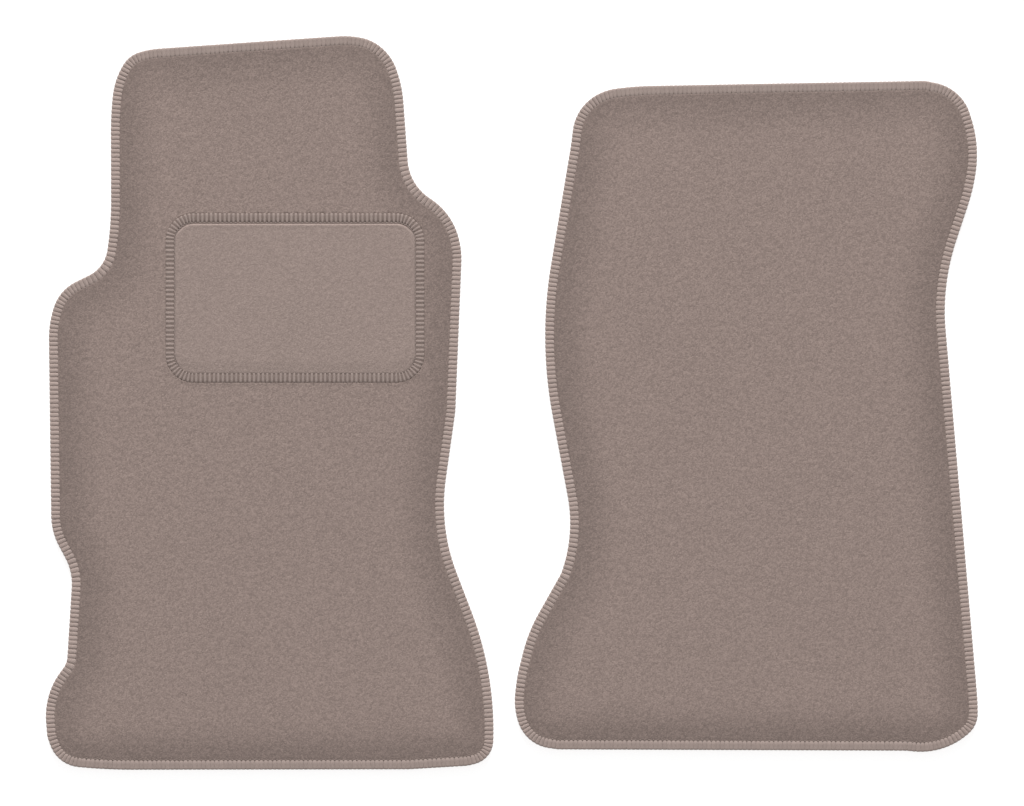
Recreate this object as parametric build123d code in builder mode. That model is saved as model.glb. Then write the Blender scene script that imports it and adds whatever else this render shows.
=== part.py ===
from build123d import *
import os

# Two-piece set of tufted carpet car mats: a driver's mat with a sewn-on heel pad and
# a passenger's mat. Both lie flat on the floor, toe ends towards +Y, and each bends
# up along a line across its toe end, where the footwell floor meets the toe board.
# Millimetres. The origin is at the middle of the set, on the floor, +Z up.

# ---------------------------------------------------------------- driving dimensions
# layer heights of a mat, from the floor up
Z_BACKING = 2.0          # anti-slip rubber backing
Z_SCRIM = 2.8            # top of the woven primary backing
Z_RIM = 5.2              # pile squeezed down under the edge yarn
Z_GROOVE = 5.6           # pile squeezed down under the needle thread
Z_PILE = 7.0             # top of the standing pile

# overlocked edge
EDGE_WIDTH = 8.7         # how far the yarn wraps reach in over the mat
EDGE_WALL = 1.5          # yarn thickness round the outside
EDGE_LEG = 0.9           # yarn thickness over and under the mat
EDGE_ROUND = 2.2         # rounding of the wraps round the outside
THREAD_WIDTH = 1.0       # needle thread along the inner ends of the wraps
THREAD_HEIGHT = 0.8

# heel pad
PAD_X, PAD_Y = -216.8, 105.1
PAD_LENGTH, PAD_DEPTH = 259.0, 170.0
PAD_CORNER = 28.0
PAD_BORDER = 9.0         # width of its stitched border
Z_POCKET = 5.8           # mat pile squeezed down under the pad
PAD_LEG_LOW = 0.5        # border yarn under the pad
Z_PAD_BACKING = 6.8
Z_PAD_RIM = 8.0          # pad pile squeezed down under its border yarn
Z_PAD_BORDER = 8.9       # top of the border yarn
Z_PAD_DITCH = 8.2        # ditch between the border and the standing pad pile
Z_PAD = 9.4              # top of the pad pile
SEAM_WIDTH = 1.4
SEAM_HEIGHT = 0.5

# bend lines: the toe end of each mat turns about an X axis here
DRIVER_BEND_Y = 215.0
PASSENGER_BEND_Y = 165.0
BEND_GAP = 0.3           # between the two sections of a mat along its bend line

# outlines: corner points x, y and the radius that rounds each, anticlockwise
DRIVER_OUTLINE = [
    (-454.8, -361.0, 32.7),
    (-433.6, -364.2, 30.3),
    (-402.5, -366.9, 549.3),
    (-102.8, -366.4, 21.4),
    (-42.5, -362.8, 52.3),
    (-19.0, -355.5, 24.0),
    (-16.8, -270.1, 333.0),
    (-72.8, -123.9, 189.0),
    (-56.5, -8.4, 85.8),
    (-50.0, 152.6, 79.8),
    (-59.3, 188.9, 65.7),
    (-102.5, 219.0, 49.4),
    (-109.7, 317.7, 121.1),
    (-119.5, 344.9, 49.2),
    (-137.8, 362.9, 43.8),
    (-162.9, 367.4, 87.4),
    (-362.0, 353.7, 86.9),
    (-383.1, 347.6, 28.3),
    (-397.5, 323.0, 74.6),
    (-401.0, 288.3, 336.3),
    (-400.7, 178.5, 334.2),
    (-407.1, 135.3, 33.6),
    (-452.5, 112.9, 42.5),
    (-463.1, 79.7, 97.8),
    (-460.5, -128.7, 65.0),
    (-439.2, -169.2, 53.9),
    (-444.9, -260.4, 21.2),
    (-468.1, -291.3, 73.6),
    (-464.6, -333.8, 17.9),
]
PASSENGER_OUTLINE = [
    (13.7, -341.8, 37.6),
    (46.3, -346.5, 30.9),
    (395.2, -347.8, 80.7),
    (432.1, -352.1, 71.9),
    (466.1, -322.7, 26.7),
    (466.0, -299.2, 242.9),
    (432.5, 89.9, 207.5),
    (435.6, 135.2, 224.0),
    (461.3, 212.8, 193.5),
    (468.3, 258.1, 119.7),
    (456.3, 295.0, 33.3),
    (443.5, 315.9, 45.3),
    (413.7, 322.1, 24.8),
    (124.0, 316.8, 297.9),
    (96.7, 313.4, 53.8),
    (64.0, 298.8, 46.9),
    (59.5, 259.1, 366.5),
    (26.7, 63.4, 433.7),
    (63.1, -131.9, 146.0),
    (49.1, -171.2, 17.4),
    (16.4, -229.2, 158.8),
    (5.2, -273.8, 166.3),
    (1.9, -304.9, 67.4),
]

# ------------------------------------------------------------------------- outlines
def inset(outline, distance):
    """Corner points and radii of an outline moved inwards: straight runs stay parallel
    and arcs stay concentric, so every inset has the same runs and arcs."""
    moved = []
    for i, (x, y, r) in enumerate(outline):
        before = Vector(outline[i - 1][0], outline[i - 1][1])
        after = Vector(outline[(i + 1) % len(outline)][0], outline[(i + 1) % len(outline)][1])
        run_in = (Vector(x, y) - before).normalized()
        run_out = (after - Vector(x, y)).normalized()
        reach = distance / (1 + run_in.dot(run_out))
        convex = run_in.cross(run_out).Z > 0
        moved.append(
            (
                x - reach * (run_in.Y + run_out.Y),
                y + reach * (run_in.X + run_out.X),
                r - distance if convex else r + distance,
            )
        )
    return moved


DRIVER_RIM = inset(DRIVER_OUTLINE, EDGE_WALL)
DRIVER_FIELD = inset(DRIVER_OUTLINE, EDGE_WIDTH)
DRIVER_PILE_TOP = inset(DRIVER_OUTLINE, EDGE_WIDTH + THREAD_WIDTH)
PASSENGER_RIM = inset(PASSENGER_OUTLINE, EDGE_WALL)
PASSENGER_FIELD = inset(PASSENGER_OUTLINE, EDGE_WIDTH)
PASSENGER_PILE_TOP = inset(PASSENGER_OUTLINE, EDGE_WIDTH + THREAD_WIDTH)

with BuildSketch() as driver_edge:
    with BuildLine():
        FilletPolyline(
            *[(x, y) for x, y, r in DRIVER_OUTLINE],
            radius=[r for x, y, r in DRIVER_OUTLINE],
            close=True,
        )
    make_face()

with BuildSketch() as driver_rim:
    with BuildLine():
        FilletPolyline(
            *[(x, y) for x, y, r in DRIVER_RIM],
            radius=[r for x, y, r in DRIVER_RIM],
            close=True,
        )
    make_face()

with BuildSketch() as driver_field:
    with BuildLine():
        FilletPolyline(
            *[(x, y) for x, y, r in DRIVER_FIELD],
            radius=[r for x, y, r in DRIVER_FIELD],
            close=True,
        )
    make_face()

with BuildSketch() as driver_pile_top:
    with BuildLine():
        FilletPolyline(
            *[(x, y) for x, y, r in DRIVER_PILE_TOP],
            radius=[r for x, y, r in DRIVER_PILE_TOP],
            close=True,
        )
    make_face()

with BuildSketch() as passenger_edge:
    with BuildLine():
        FilletPolyline(
            *[(x, y) for x, y, r in PASSENGER_OUTLINE],
            radius=[r for x, y, r in PASSENGER_OUTLINE],
            close=True,
        )
    make_face()

with BuildSketch() as passenger_rim:
    with BuildLine():
        FilletPolyline(
            *[(x, y) for x, y, r in PASSENGER_RIM],
            radius=[r for x, y, r in PASSENGER_RIM],
            close=True,
        )
    make_face()

with BuildSketch() as passenger_field:
    with BuildLine():
        FilletPolyline(
            *[(x, y) for x, y, r in PASSENGER_FIELD],
            radius=[r for x, y, r in PASSENGER_FIELD],
            close=True,
        )
    make_face()

with BuildSketch() as passenger_pile_top:
    with BuildLine():
        FilletPolyline(
            *[(x, y) for x, y, r in PASSENGER_PILE_TOP],
            radius=[r for x, y, r in PASSENGER_PILE_TOP],
            close=True,
        )
    make_face()

with BuildSketch() as pad_edge:
    with Locations((PAD_X, PAD_Y)):
        RectangleRounded(PAD_LENGTH, PAD_DEPTH, PAD_CORNER)

with BuildSketch() as pad_rim:
    with Locations((PAD_X, PAD_Y)):
        RectangleRounded(
            PAD_LENGTH - 2 * EDGE_WALL, PAD_DEPTH - 2 * EDGE_WALL, PAD_CORNER - EDGE_WALL
        )

with BuildSketch() as pad_field:
    with Locations((PAD_X, PAD_Y)):
        RectangleRounded(
            PAD_LENGTH - 2 * PAD_BORDER, PAD_DEPTH - 2 * PAD_BORDER, PAD_CORNER - PAD_BORDER
        )

with BuildSketch() as pad_pile_top:
    with Locations((PAD_X, PAD_Y)):
        RectangleRounded(
            PAD_LENGTH - 2 * (PAD_BORDER + SEAM_WIDTH),
            PAD_DEPTH - 2 * (PAD_BORDER + SEAM_WIDTH),
            PAD_CORNER - PAD_BORDER - SEAM_WIDTH,
        )

# bend planes: each mat's floor section ends half the gap before its bend line and
# its toe end starts half the gap after it
driver_floor_cut = Plane(origin=(0, DRIVER_BEND_Y - BEND_GAP / 2, 0), x_dir=(1, 0, 0), z_dir=(0, 1, 0))
driver_toe_cut = Plane(origin=(0, DRIVER_BEND_Y + BEND_GAP / 2, 0), x_dir=(1, 0, 0), z_dir=(0, 1, 0))
passenger_floor_cut = Plane(origin=(0, PASSENGER_BEND_Y - BEND_GAP / 2, 0), x_dir=(1, 0, 0), z_dir=(0, 1, 0))
passenger_toe_cut = Plane(origin=(0, PASSENGER_BEND_Y + BEND_GAP / 2, 0), x_dir=(1, 0, 0), z_dir=(0, 1, 0))

os.makedirs("parts", exist_ok=True)

# ------------------------------------------------------- driver's mat, whole layers
# rubber backing: full thickness inside the edge yarn, thinner where the yarn wraps it
with BuildPart() as driver_backing_sheet:
    with BuildSketch(Plane.XY):
        add(driver_field.sketch)
    extrude(amount=EDGE_LEG)
    with BuildSketch(Plane.XY.offset(EDGE_LEG)):
        add(driver_rim.sketch)
    extrude(amount=Z_BACKING - EDGE_LEG)

# woven scrim that the tufts are punched through
with BuildPart() as driver_scrim_sheet:
    with BuildSketch(Plane.XY.offset(Z_BACKING)):
        add(driver_rim.sketch)
    extrude(amount=Z_SCRIM - Z_BACKING)

# pile: squeezed under the yarn and the needle thread, standing inside them, with a
# shallow pocket that the heel pad presses into it
with BuildPart() as driver_pile_sheet:
    with BuildSketch(Plane.XY.offset(Z_SCRIM)):
        add(driver_rim.sketch)
    extrude(amount=Z_RIM - Z_SCRIM)
    with BuildSketch(Plane.XY.offset(Z_RIM)):
        add(driver_field.sketch)
    extrude(amount=Z_GROOVE - Z_RIM)
    with BuildSketch(Plane.XY.offset(Z_GROOVE)):
        add(driver_pile_top.sketch)
    extrude(amount=Z_PILE - Z_GROOVE)
    with BuildSketch(Plane.XY.offset(Z_POCKET)):
        add(pad_edge.sketch)
    extrude(amount=Z_PILE - Z_POCKET, mode=Mode.SUBTRACT)

# overlock yarn: a C section that closes over the rim of all three layers
with BuildPart() as driver_yarn_ring:
    with BuildSketch(Plane.XY):
        add(driver_edge.sketch)
    extrude(amount=Z_RIM + EDGE_LEG)
    fillet(
        driver_yarn_ring.edges().group_by(Axis.Z)[0]
        + driver_yarn_ring.edges().group_by(Axis.Z)[-1],
        radius=EDGE_ROUND,
    )
    with BuildSketch(Plane.XY.offset(EDGE_LEG)):
        add(driver_rim.sketch)
    extrude(amount=Z_RIM - EDGE_LEG, mode=Mode.SUBTRACT)
    with BuildSketch(Plane.XY):
        add(driver_field.sketch)
    extrude(amount=Z_RIM + EDGE_LEG, mode=Mode.SUBTRACT)

# needle thread: one line of stitches along the inner ends of the yarn wraps
with BuildPart() as driver_thread_ring:
    with BuildSketch(Plane.XY.offset(Z_GROOVE)):
        add(driver_field.sketch)
        add(driver_pile_top.sketch, mode=Mode.SUBTRACT)
    extrude(amount=THREAD_HEIGHT)

# ---------------------------------------------------- driver's mat, floor section
with BuildPart() as driver_antislip_backing:
    add(driver_backing_sheet.part)
    split(bisect_by=driver_floor_cut, keep=Keep.BOTTOM)
driver_antislip_backing.part.label = "driver_antislip_backing"
export_step(driver_antislip_backing.part, "parts/driver_antislip_backing.step")

with BuildPart() as driver_primary_backing:
    add(driver_scrim_sheet.part)
    split(bisect_by=driver_floor_cut, keep=Keep.BOTTOM)
driver_primary_backing.part.label = "driver_primary_backing"
export_step(driver_primary_backing.part, "parts/driver_primary_backing.step")

with BuildPart() as driver_carpet_pile:
    add(driver_pile_sheet.part)
    split(bisect_by=driver_floor_cut, keep=Keep.BOTTOM)
driver_carpet_pile.part.label = "driver_carpet_pile"
export_step(driver_carpet_pile.part, "parts/driver_carpet_pile.step")

with BuildPart() as driver_edge_yarn:
    add(driver_yarn_ring.part)
    split(bisect_by=driver_floor_cut, keep=Keep.BOTTOM)
driver_edge_yarn.part.label = "driver_edge_yarn"
export_step(driver_edge_yarn.part, "parts/driver_edge_yarn.step")

with BuildPart() as driver_needle_thread:
    add(driver_thread_ring.part)
    split(bisect_by=driver_floor_cut, keep=Keep.BOTTOM)
driver_needle_thread.part.label = "driver_needle_thread"
export_step(driver_needle_thread.part, "parts/driver_needle_thread.step")

# ------------------------------------------------------------ driver's mat, toe end
with BuildPart() as driver_toe_antislip_backing:
    add(driver_backing_sheet.part)
    split(bisect_by=driver_toe_cut, keep=Keep.TOP)
driver_toe_antislip_backing.part.label = "driver_toe_antislip_backing"
export_step(driver_toe_antislip_backing.part, "parts/driver_toe_antislip_backing.step")

with BuildPart() as driver_toe_primary_backing:
    add(driver_scrim_sheet.part)
    split(bisect_by=driver_toe_cut, keep=Keep.TOP)
driver_toe_primary_backing.part.label = "driver_toe_primary_backing"
export_step(driver_toe_primary_backing.part, "parts/driver_toe_primary_backing.step")

with BuildPart() as driver_toe_carpet_pile:
    add(driver_pile_sheet.part)
    split(bisect_by=driver_toe_cut, keep=Keep.TOP)
driver_toe_carpet_pile.part.label = "driver_toe_carpet_pile"
export_step(driver_toe_carpet_pile.part, "parts/driver_toe_carpet_pile.step")

with BuildPart() as driver_toe_edge_yarn:
    add(driver_yarn_ring.part)
    split(bisect_by=driver_toe_cut, keep=Keep.TOP)
driver_toe_edge_yarn.part.label = "driver_toe_edge_yarn"
export_step(driver_toe_edge_yarn.part, "parts/driver_toe_edge_yarn.step")

with BuildPart() as driver_toe_needle_thread:
    add(driver_thread_ring.part)
    split(bisect_by=driver_toe_cut, keep=Keep.TOP)
driver_toe_needle_thread.part.label = "driver_toe_needle_thread"
export_step(driver_toe_needle_thread.part, "parts/driver_toe_needle_thread.step")

# ------------------------------------------------------------------------- heel pad
# backing of the pad: full depth inside the border yarn, thinner where the yarn wraps
with BuildPart() as heel_pad_backing:
    with BuildSketch(Plane.XY.offset(Z_POCKET)):
        add(pad_field.sketch)
    extrude(amount=PAD_LEG_LOW)
    with BuildSketch(Plane.XY.offset(Z_POCKET + PAD_LEG_LOW)):
        add(pad_rim.sketch)
    extrude(amount=Z_PAD_BACKING - Z_POCKET - PAD_LEG_LOW)
heel_pad_backing.part.label = "heel_pad_backing"
export_step(heel_pad_backing.part, "parts/heel_pad_backing.step")

# short dense pile: squeezed under the border, a ditch for the seam, standing inside
with BuildPart() as heel_pad_pile:
    with BuildSketch(Plane.XY.offset(Z_PAD_BACKING)):
        add(pad_rim.sketch)
    extrude(amount=Z_PAD_RIM - Z_PAD_BACKING)
    with BuildSketch(Plane.XY.offset(Z_PAD_RIM)):
        add(pad_field.sketch)
    extrude(amount=Z_PAD_DITCH - Z_PAD_RIM)
    with BuildSketch(Plane.XY.offset(Z_PAD_DITCH)):
        add(pad_pile_top.sketch)
    extrude(amount=Z_PAD - Z_PAD_DITCH)
heel_pad_pile.part.label = "heel_pad_pile"
export_step(heel_pad_pile.part, "parts/heel_pad_pile.step")

# border yarn of the pad, a C section like the mat's own edge
with BuildPart() as heel_pad_border_yarn:
    with BuildSketch(Plane.XY.offset(Z_POCKET)):
        add(pad_edge.sketch)
    extrude(amount=Z_PAD_BORDER - Z_POCKET)
    fillet(heel_pad_border_yarn.edges().group_by(Axis.Z)[-1], radius=1.4)
    with BuildSketch(Plane.XY.offset(Z_POCKET + PAD_LEG_LOW)):
        add(pad_rim.sketch)
    extrude(amount=Z_PAD_RIM - Z_POCKET - PAD_LEG_LOW, mode=Mode.SUBTRACT)
    with BuildSketch(Plane.XY.offset(Z_POCKET)):
        add(pad_field.sketch)
    extrude(amount=Z_PAD_BORDER - Z_POCKET, mode=Mode.SUBTRACT)
heel_pad_border_yarn.part.label = "heel_pad_border_yarn"
export_step(heel_pad_border_yarn.part, "parts/heel_pad_border_yarn.step")

# seam that sews the pad to the mat, in the ditch inside the border
with BuildPart() as heel_pad_seam_thread:
    with BuildSketch(Plane.XY.offset(Z_PAD_DITCH)):
        add(pad_field.sketch)
        add(pad_pile_top.sketch, mode=Mode.SUBTRACT)
    extrude(amount=SEAM_HEIGHT)
heel_pad_seam_thread.part.label = "heel_pad_seam_thread"
export_step(heel_pad_seam_thread.part, "parts/heel_pad_seam_thread.step")

# ---------------------------------------------------- passenger's mat, whole layers
with BuildPart() as passenger_backing_sheet:
    with BuildSketch(Plane.XY):
        add(passenger_field.sketch)
    extrude(amount=EDGE_LEG)
    with BuildSketch(Plane.XY.offset(EDGE_LEG)):
        add(passenger_rim.sketch)
    extrude(amount=Z_BACKING - EDGE_LEG)

with BuildPart() as passenger_scrim_sheet:
    with BuildSketch(Plane.XY.offset(Z_BACKING)):
        add(passenger_rim.sketch)
    extrude(amount=Z_SCRIM - Z_BACKING)

with BuildPart() as passenger_pile_sheet:
    with BuildSketch(Plane.XY.offset(Z_SCRIM)):
        add(passenger_rim.sketch)
    extrude(amount=Z_RIM - Z_SCRIM)
    with BuildSketch(Plane.XY.offset(Z_RIM)):
        add(passenger_field.sketch)
    extrude(amount=Z_GROOVE - Z_RIM)
    with BuildSketch(Plane.XY.offset(Z_GROOVE)):
        add(passenger_pile_top.sketch)
    extrude(amount=Z_PILE - Z_GROOVE)

with BuildPart() as passenger_yarn_ring:
    with BuildSketch(Plane.XY):
        add(passenger_edge.sketch)
    extrude(amount=Z_RIM + EDGE_LEG)
    fillet(
        passenger_yarn_ring.edges().group_by(Axis.Z)[0]
        + passenger_yarn_ring.edges().group_by(Axis.Z)[-1],
        radius=EDGE_ROUND,
    )
    with BuildSketch(Plane.XY.offset(EDGE_LEG)):
        add(passenger_rim.sketch)
    extrude(amount=Z_RIM - EDGE_LEG, mode=Mode.SUBTRACT)
    with BuildSketch(Plane.XY):
        add(passenger_field.sketch)
    extrude(amount=Z_RIM + EDGE_LEG, mode=Mode.SUBTRACT)

with BuildPart() as passenger_thread_ring:
    with BuildSketch(Plane.XY.offset(Z_GROOVE)):
        add(passenger_field.sketch)
        add(passenger_pile_top.sketch, mode=Mode.SUBTRACT)
    extrude(amount=THREAD_HEIGHT)

# ------------------------------------------------- passenger's mat, floor section
with BuildPart() as passenger_antislip_backing:
    add(passenger_backing_sheet.part)
    split(bisect_by=passenger_floor_cut, keep=Keep.BOTTOM)
passenger_antislip_backing.part.label = "passenger_antislip_backing"
export_step(passenger_antislip_backing.part, "parts/passenger_antislip_backing.step")

with BuildPart() as passenger_primary_backing:
    add(passenger_scrim_sheet.part)
    split(bisect_by=passenger_floor_cut, keep=Keep.BOTTOM)
passenger_primary_backing.part.label = "passenger_primary_backing"
export_step(passenger_primary_backing.part, "parts/passenger_primary_backing.step")

with BuildPart() as passenger_carpet_pile:
    add(passenger_pile_sheet.part)
    split(bisect_by=passenger_floor_cut, keep=Keep.BOTTOM)
passenger_carpet_pile.part.label = "passenger_carpet_pile"
export_step(passenger_carpet_pile.part, "parts/passenger_carpet_pile.step")

with BuildPart() as passenger_edge_yarn:
    add(passenger_yarn_ring.part)
    split(bisect_by=passenger_floor_cut, keep=Keep.BOTTOM)
passenger_edge_yarn.part.label = "passenger_edge_yarn"
export_step(passenger_edge_yarn.part, "parts/passenger_edge_yarn.step")

with BuildPart() as passenger_needle_thread:
    add(passenger_thread_ring.part)
    split(bisect_by=passenger_floor_cut, keep=Keep.BOTTOM)
passenger_needle_thread.part.label = "passenger_needle_thread"
export_step(passenger_needle_thread.part, "parts/passenger_needle_thread.step")

# --------------------------------------------------------- passenger's mat, toe end
with BuildPart() as passenger_toe_antislip_backing:
    add(passenger_backing_sheet.part)
    split(bisect_by=passenger_toe_cut, keep=Keep.TOP)
passenger_toe_antislip_backing.part.label = "passenger_toe_antislip_backing"
export_step(passenger_toe_antislip_backing.part, "parts/passenger_toe_antislip_backing.step")

with BuildPart() as passenger_toe_primary_backing:
    add(passenger_scrim_sheet.part)
    split(bisect_by=passenger_toe_cut, keep=Keep.TOP)
passenger_toe_primary_backing.part.label = "passenger_toe_primary_backing"
export_step(passenger_toe_primary_backing.part, "parts/passenger_toe_primary_backing.step")

with BuildPart() as passenger_toe_carpet_pile:
    add(passenger_pile_sheet.part)
    split(bisect_by=passenger_toe_cut, keep=Keep.TOP)
passenger_toe_carpet_pile.part.label = "passenger_toe_carpet_pile"
export_step(passenger_toe_carpet_pile.part, "parts/passenger_toe_carpet_pile.step")

with BuildPart() as passenger_toe_edge_yarn:
    add(passenger_yarn_ring.part)
    split(bisect_by=passenger_toe_cut, keep=Keep.TOP)
passenger_toe_edge_yarn.part.label = "passenger_toe_edge_yarn"
export_step(passenger_toe_edge_yarn.part, "parts/passenger_toe_edge_yarn.step")

with BuildPart() as passenger_toe_needle_thread:
    add(passenger_thread_ring.part)
    split(bisect_by=passenger_toe_cut, keep=Keep.TOP)
passenger_toe_needle_thread.part.label = "passenger_toe_needle_thread"
export_step(passenger_toe_needle_thread.part, "parts/passenger_toe_needle_thread.step")
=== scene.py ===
import math

import bpy
import numpy as np
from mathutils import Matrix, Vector, kdtree
from mathutils.geometry import delaunay_2d_cdt


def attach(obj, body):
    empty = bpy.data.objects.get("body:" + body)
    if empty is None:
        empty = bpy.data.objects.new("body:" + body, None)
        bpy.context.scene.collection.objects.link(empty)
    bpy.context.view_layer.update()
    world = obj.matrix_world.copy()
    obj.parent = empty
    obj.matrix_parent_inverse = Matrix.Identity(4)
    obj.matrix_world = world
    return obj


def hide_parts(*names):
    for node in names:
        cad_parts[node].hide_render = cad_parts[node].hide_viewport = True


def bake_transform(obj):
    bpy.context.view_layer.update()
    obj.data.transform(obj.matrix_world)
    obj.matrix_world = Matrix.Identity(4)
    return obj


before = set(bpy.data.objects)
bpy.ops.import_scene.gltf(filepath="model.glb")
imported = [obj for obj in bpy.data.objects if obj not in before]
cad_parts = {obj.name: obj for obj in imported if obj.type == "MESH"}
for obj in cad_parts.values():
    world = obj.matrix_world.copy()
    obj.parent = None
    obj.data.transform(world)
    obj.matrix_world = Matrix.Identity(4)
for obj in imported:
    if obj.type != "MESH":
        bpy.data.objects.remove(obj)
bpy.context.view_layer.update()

# Floor mat set: two tufted carpet mats with overlocked edges, one with a sewn-on heel pad.
# Lengths below are in millimetres until a mesh is made; the frame is the CAD part's.

RNG = np.random.default_rng(20417)

# ---------------------------------------------------------------------------
# Outlines: corners (x, y, radius), anticlockwise, joined by straight runs and tangent arcs
# ---------------------------------------------------------------------------
DRIVER_OUTLINE = [
    (-454.8, -361.0, 32.7), (-433.6, -364.2, 30.3), (-402.5, -366.9, 549.3),
    (-102.8, -366.4, 21.4), (-42.5, -362.8, 52.3), (-19.0, -355.5, 24.0),
    (-16.8, -270.1, 333.0), (-72.8, -123.9, 189.0), (-56.5, -8.4, 85.8),
    (-50.0, 152.6, 79.8), (-59.3, 188.9, 65.7), (-102.5, 219.0, 49.4),
    (-109.7, 317.7, 121.1), (-119.5, 344.9, 49.2), (-137.8, 362.9, 43.8),
    (-162.9, 367.4, 87.4), (-362.0, 353.7, 86.9), (-383.1, 347.6, 28.3),
    (-397.5, 323.0, 74.6), (-401.0, 288.3, 336.3), (-400.7, 178.5, 334.2),
    (-407.1, 135.3, 33.6), (-452.5, 112.9, 42.5), (-463.1, 79.7, 97.8),
    (-460.5, -128.7, 65.0), (-439.2, -169.2, 53.9), (-444.9, -260.4, 21.2),
    (-468.1, -291.3, 73.6), (-464.6, -333.8, 17.9),
]
PASSENGER_OUTLINE = [
    (13.7, -341.8, 37.6), (46.3, -346.5, 30.9), (395.2, -347.8, 80.7),
    (432.1, -352.1, 71.9), (466.1, -322.7, 26.7), (466.0, -299.2, 242.9),
    (432.5, 89.9, 207.5), (435.6, 135.2, 224.0), (461.3, 212.8, 193.5),
    (468.3, 258.1, 119.7), (456.3, 295.0, 33.3), (443.5, 315.9, 45.3),
    (413.7, 322.1, 24.8), (124.0, 316.8, 297.9), (96.7, 313.4, 53.8),
    (64.0, 298.8, 46.9), (59.5, 259.1, 366.5), (26.7, 63.4, 433.7),
    (63.1, -131.9, 146.0), (49.1, -171.2, 17.4), (16.4, -229.2, 158.8),
    (5.2, -273.8, 166.3), (1.9, -304.9, 67.4),
]
PAD_X, PAD_Y, PAD_W, PAD_H, PAD_R = -216.8, 105.1, 259.0, 170.0, 28.0
PAD_OUTLINE = [
    (PAD_X - PAD_W / 2, PAD_Y - PAD_H / 2, PAD_R),
    (PAD_X + PAD_W / 2, PAD_Y - PAD_H / 2, PAD_R),
    (PAD_X + PAD_W / 2, PAD_Y + PAD_H / 2, PAD_R),
    (PAD_X - PAD_W / 2, PAD_Y + PAD_H / 2, PAD_R),
]
PITCH = 4.45  # overlock stitch


class Outline:
    """A closed line of straight runs and tangent arcs, sampled by arc length."""

    def __init__(self, corners):
        v = np.array([c[:2] for c in corners], float)
        r = np.array([c[2] for c in corners], float)
        a = np.roll(v, 1, 0) - v
        b = np.roll(v, -1, 0) - v
        a /= np.hypot(*a.T)[:, None]
        b /= np.hypot(*b.T)[:, None]
        inner = np.arccos(np.clip((a * b).sum(1), -1, 1))
        t = r / np.tan(inner / 2)
        bis = a + b
        bis /= np.hypot(*bis.T)[:, None]
        c = v + bis * (r / np.sin(inner / 2))[:, None]
        t1, t2 = v + a * t[:, None], v + b * t[:, None]
        rows = []
        n = len(v)
        for i in range(n):
            a0 = math.atan2(*(t1[i] - c[i])[::-1])
            a1 = math.atan2(*(t2[i] - c[i])[::-1])
            da = (a1 - a0 + math.pi) % (2 * math.pi) - math.pi
            rows.append((1, c[i][0], c[i][1], r[i], a0, da, abs(da) * r[i]))
            j = (i + 1) % n
            run = t1[j] - t2[i]
            length = max(1e-9, float(run @ b[i]))
            rows.append((0, t2[i][0], t2[i][1], 0, b[i][0], b[i][1], length))
        self.rows = np.array(rows)
        self.start = np.concatenate([[0], np.cumsum(self.rows[:, 6])])
        self.length = float(self.start[-1])

    def sample(self, s):
        """Points and outward normals at arc lengths s."""
        s = np.asarray(s, float) % self.length
        k = np.clip(np.searchsorted(self.start, s, "right") - 1, 0, len(self.rows) - 1)
        f = s - self.start[k]
        kind, px, py, r, p4, p5, length = self.rows[k].T
        arc = kind > 0.5
        ang = p4 + p5 * np.where(arc, f / np.maximum(length, 1e-9), 0)
        side = np.where(p5 > 0, 1.0, -1.0)
        x = np.where(arc, px + r * np.cos(ang), px + p4 * f)
        y = np.where(arc, py + r * np.sin(ang), py + p5 * f)
        nx = np.where(arc, side * np.cos(ang), p5)
        ny = np.where(arc, side * np.sin(ang), -p4)
        return np.stack([x, y], -1), np.stack([nx, ny], -1)

    def at(self, s, d):
        """Points d inside the outline, at arc lengths s."""
        p, n = self.sample(s)
        return p - n * np.asarray(d, float)[..., None]

    def loop(self, count, d):
        """count points round the outline, d inside it; d may be one number or one for each point."""
        return self.at(np.arange(count) * self.length / count, d * np.ones(count))

    def depth(self, points):
        """How far inside the outline each point is; negative outside."""
        if not hasattr(self, "tree"):
            n = int(self.length / 1.0)
            self.p, self.n = self.sample(np.arange(n) * self.length / n)
            self.tree = kdtree.KDTree(n)
            for i, q in enumerate(self.p):
                self.tree.insert((q[0], q[1], 0), i)
            self.tree.balance()
        out = np.empty(len(points))
        for i, q in enumerate(points):
            _, k, _ = self.tree.find((q[0], q[1], 0))
            out[i] = k
        k = out.astype(int)
        rel = np.asarray(points, float) - self.p[k]
        along = -(rel * self.n[k]).sum(1)
        return np.where(along >= 0, 1, -1) * np.hypot(*rel.T)


DRIVER, PASSENGER, PAD = Outline(DRIVER_OUTLINE), Outline(PASSENGER_OUTLINE), Outline(PAD_OUTLINE)


def smooth(t):
    t = np.clip(t, 0, 1)
    return t * t * (3 - 2 * t)


def lie(x, y):
    """How far each mat stands off the floor where it doesn't lie quite flat."""
    low = 0.22 * (1 + np.sin(x / 83 + 1.1) * np.sin(y / 104 + 0.6))
    toe = 1.5 * smooth((y - 262) / 110) * smooth(np.abs(x / 130 % 2 - 1) * 1.2)
    return low + toe


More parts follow.
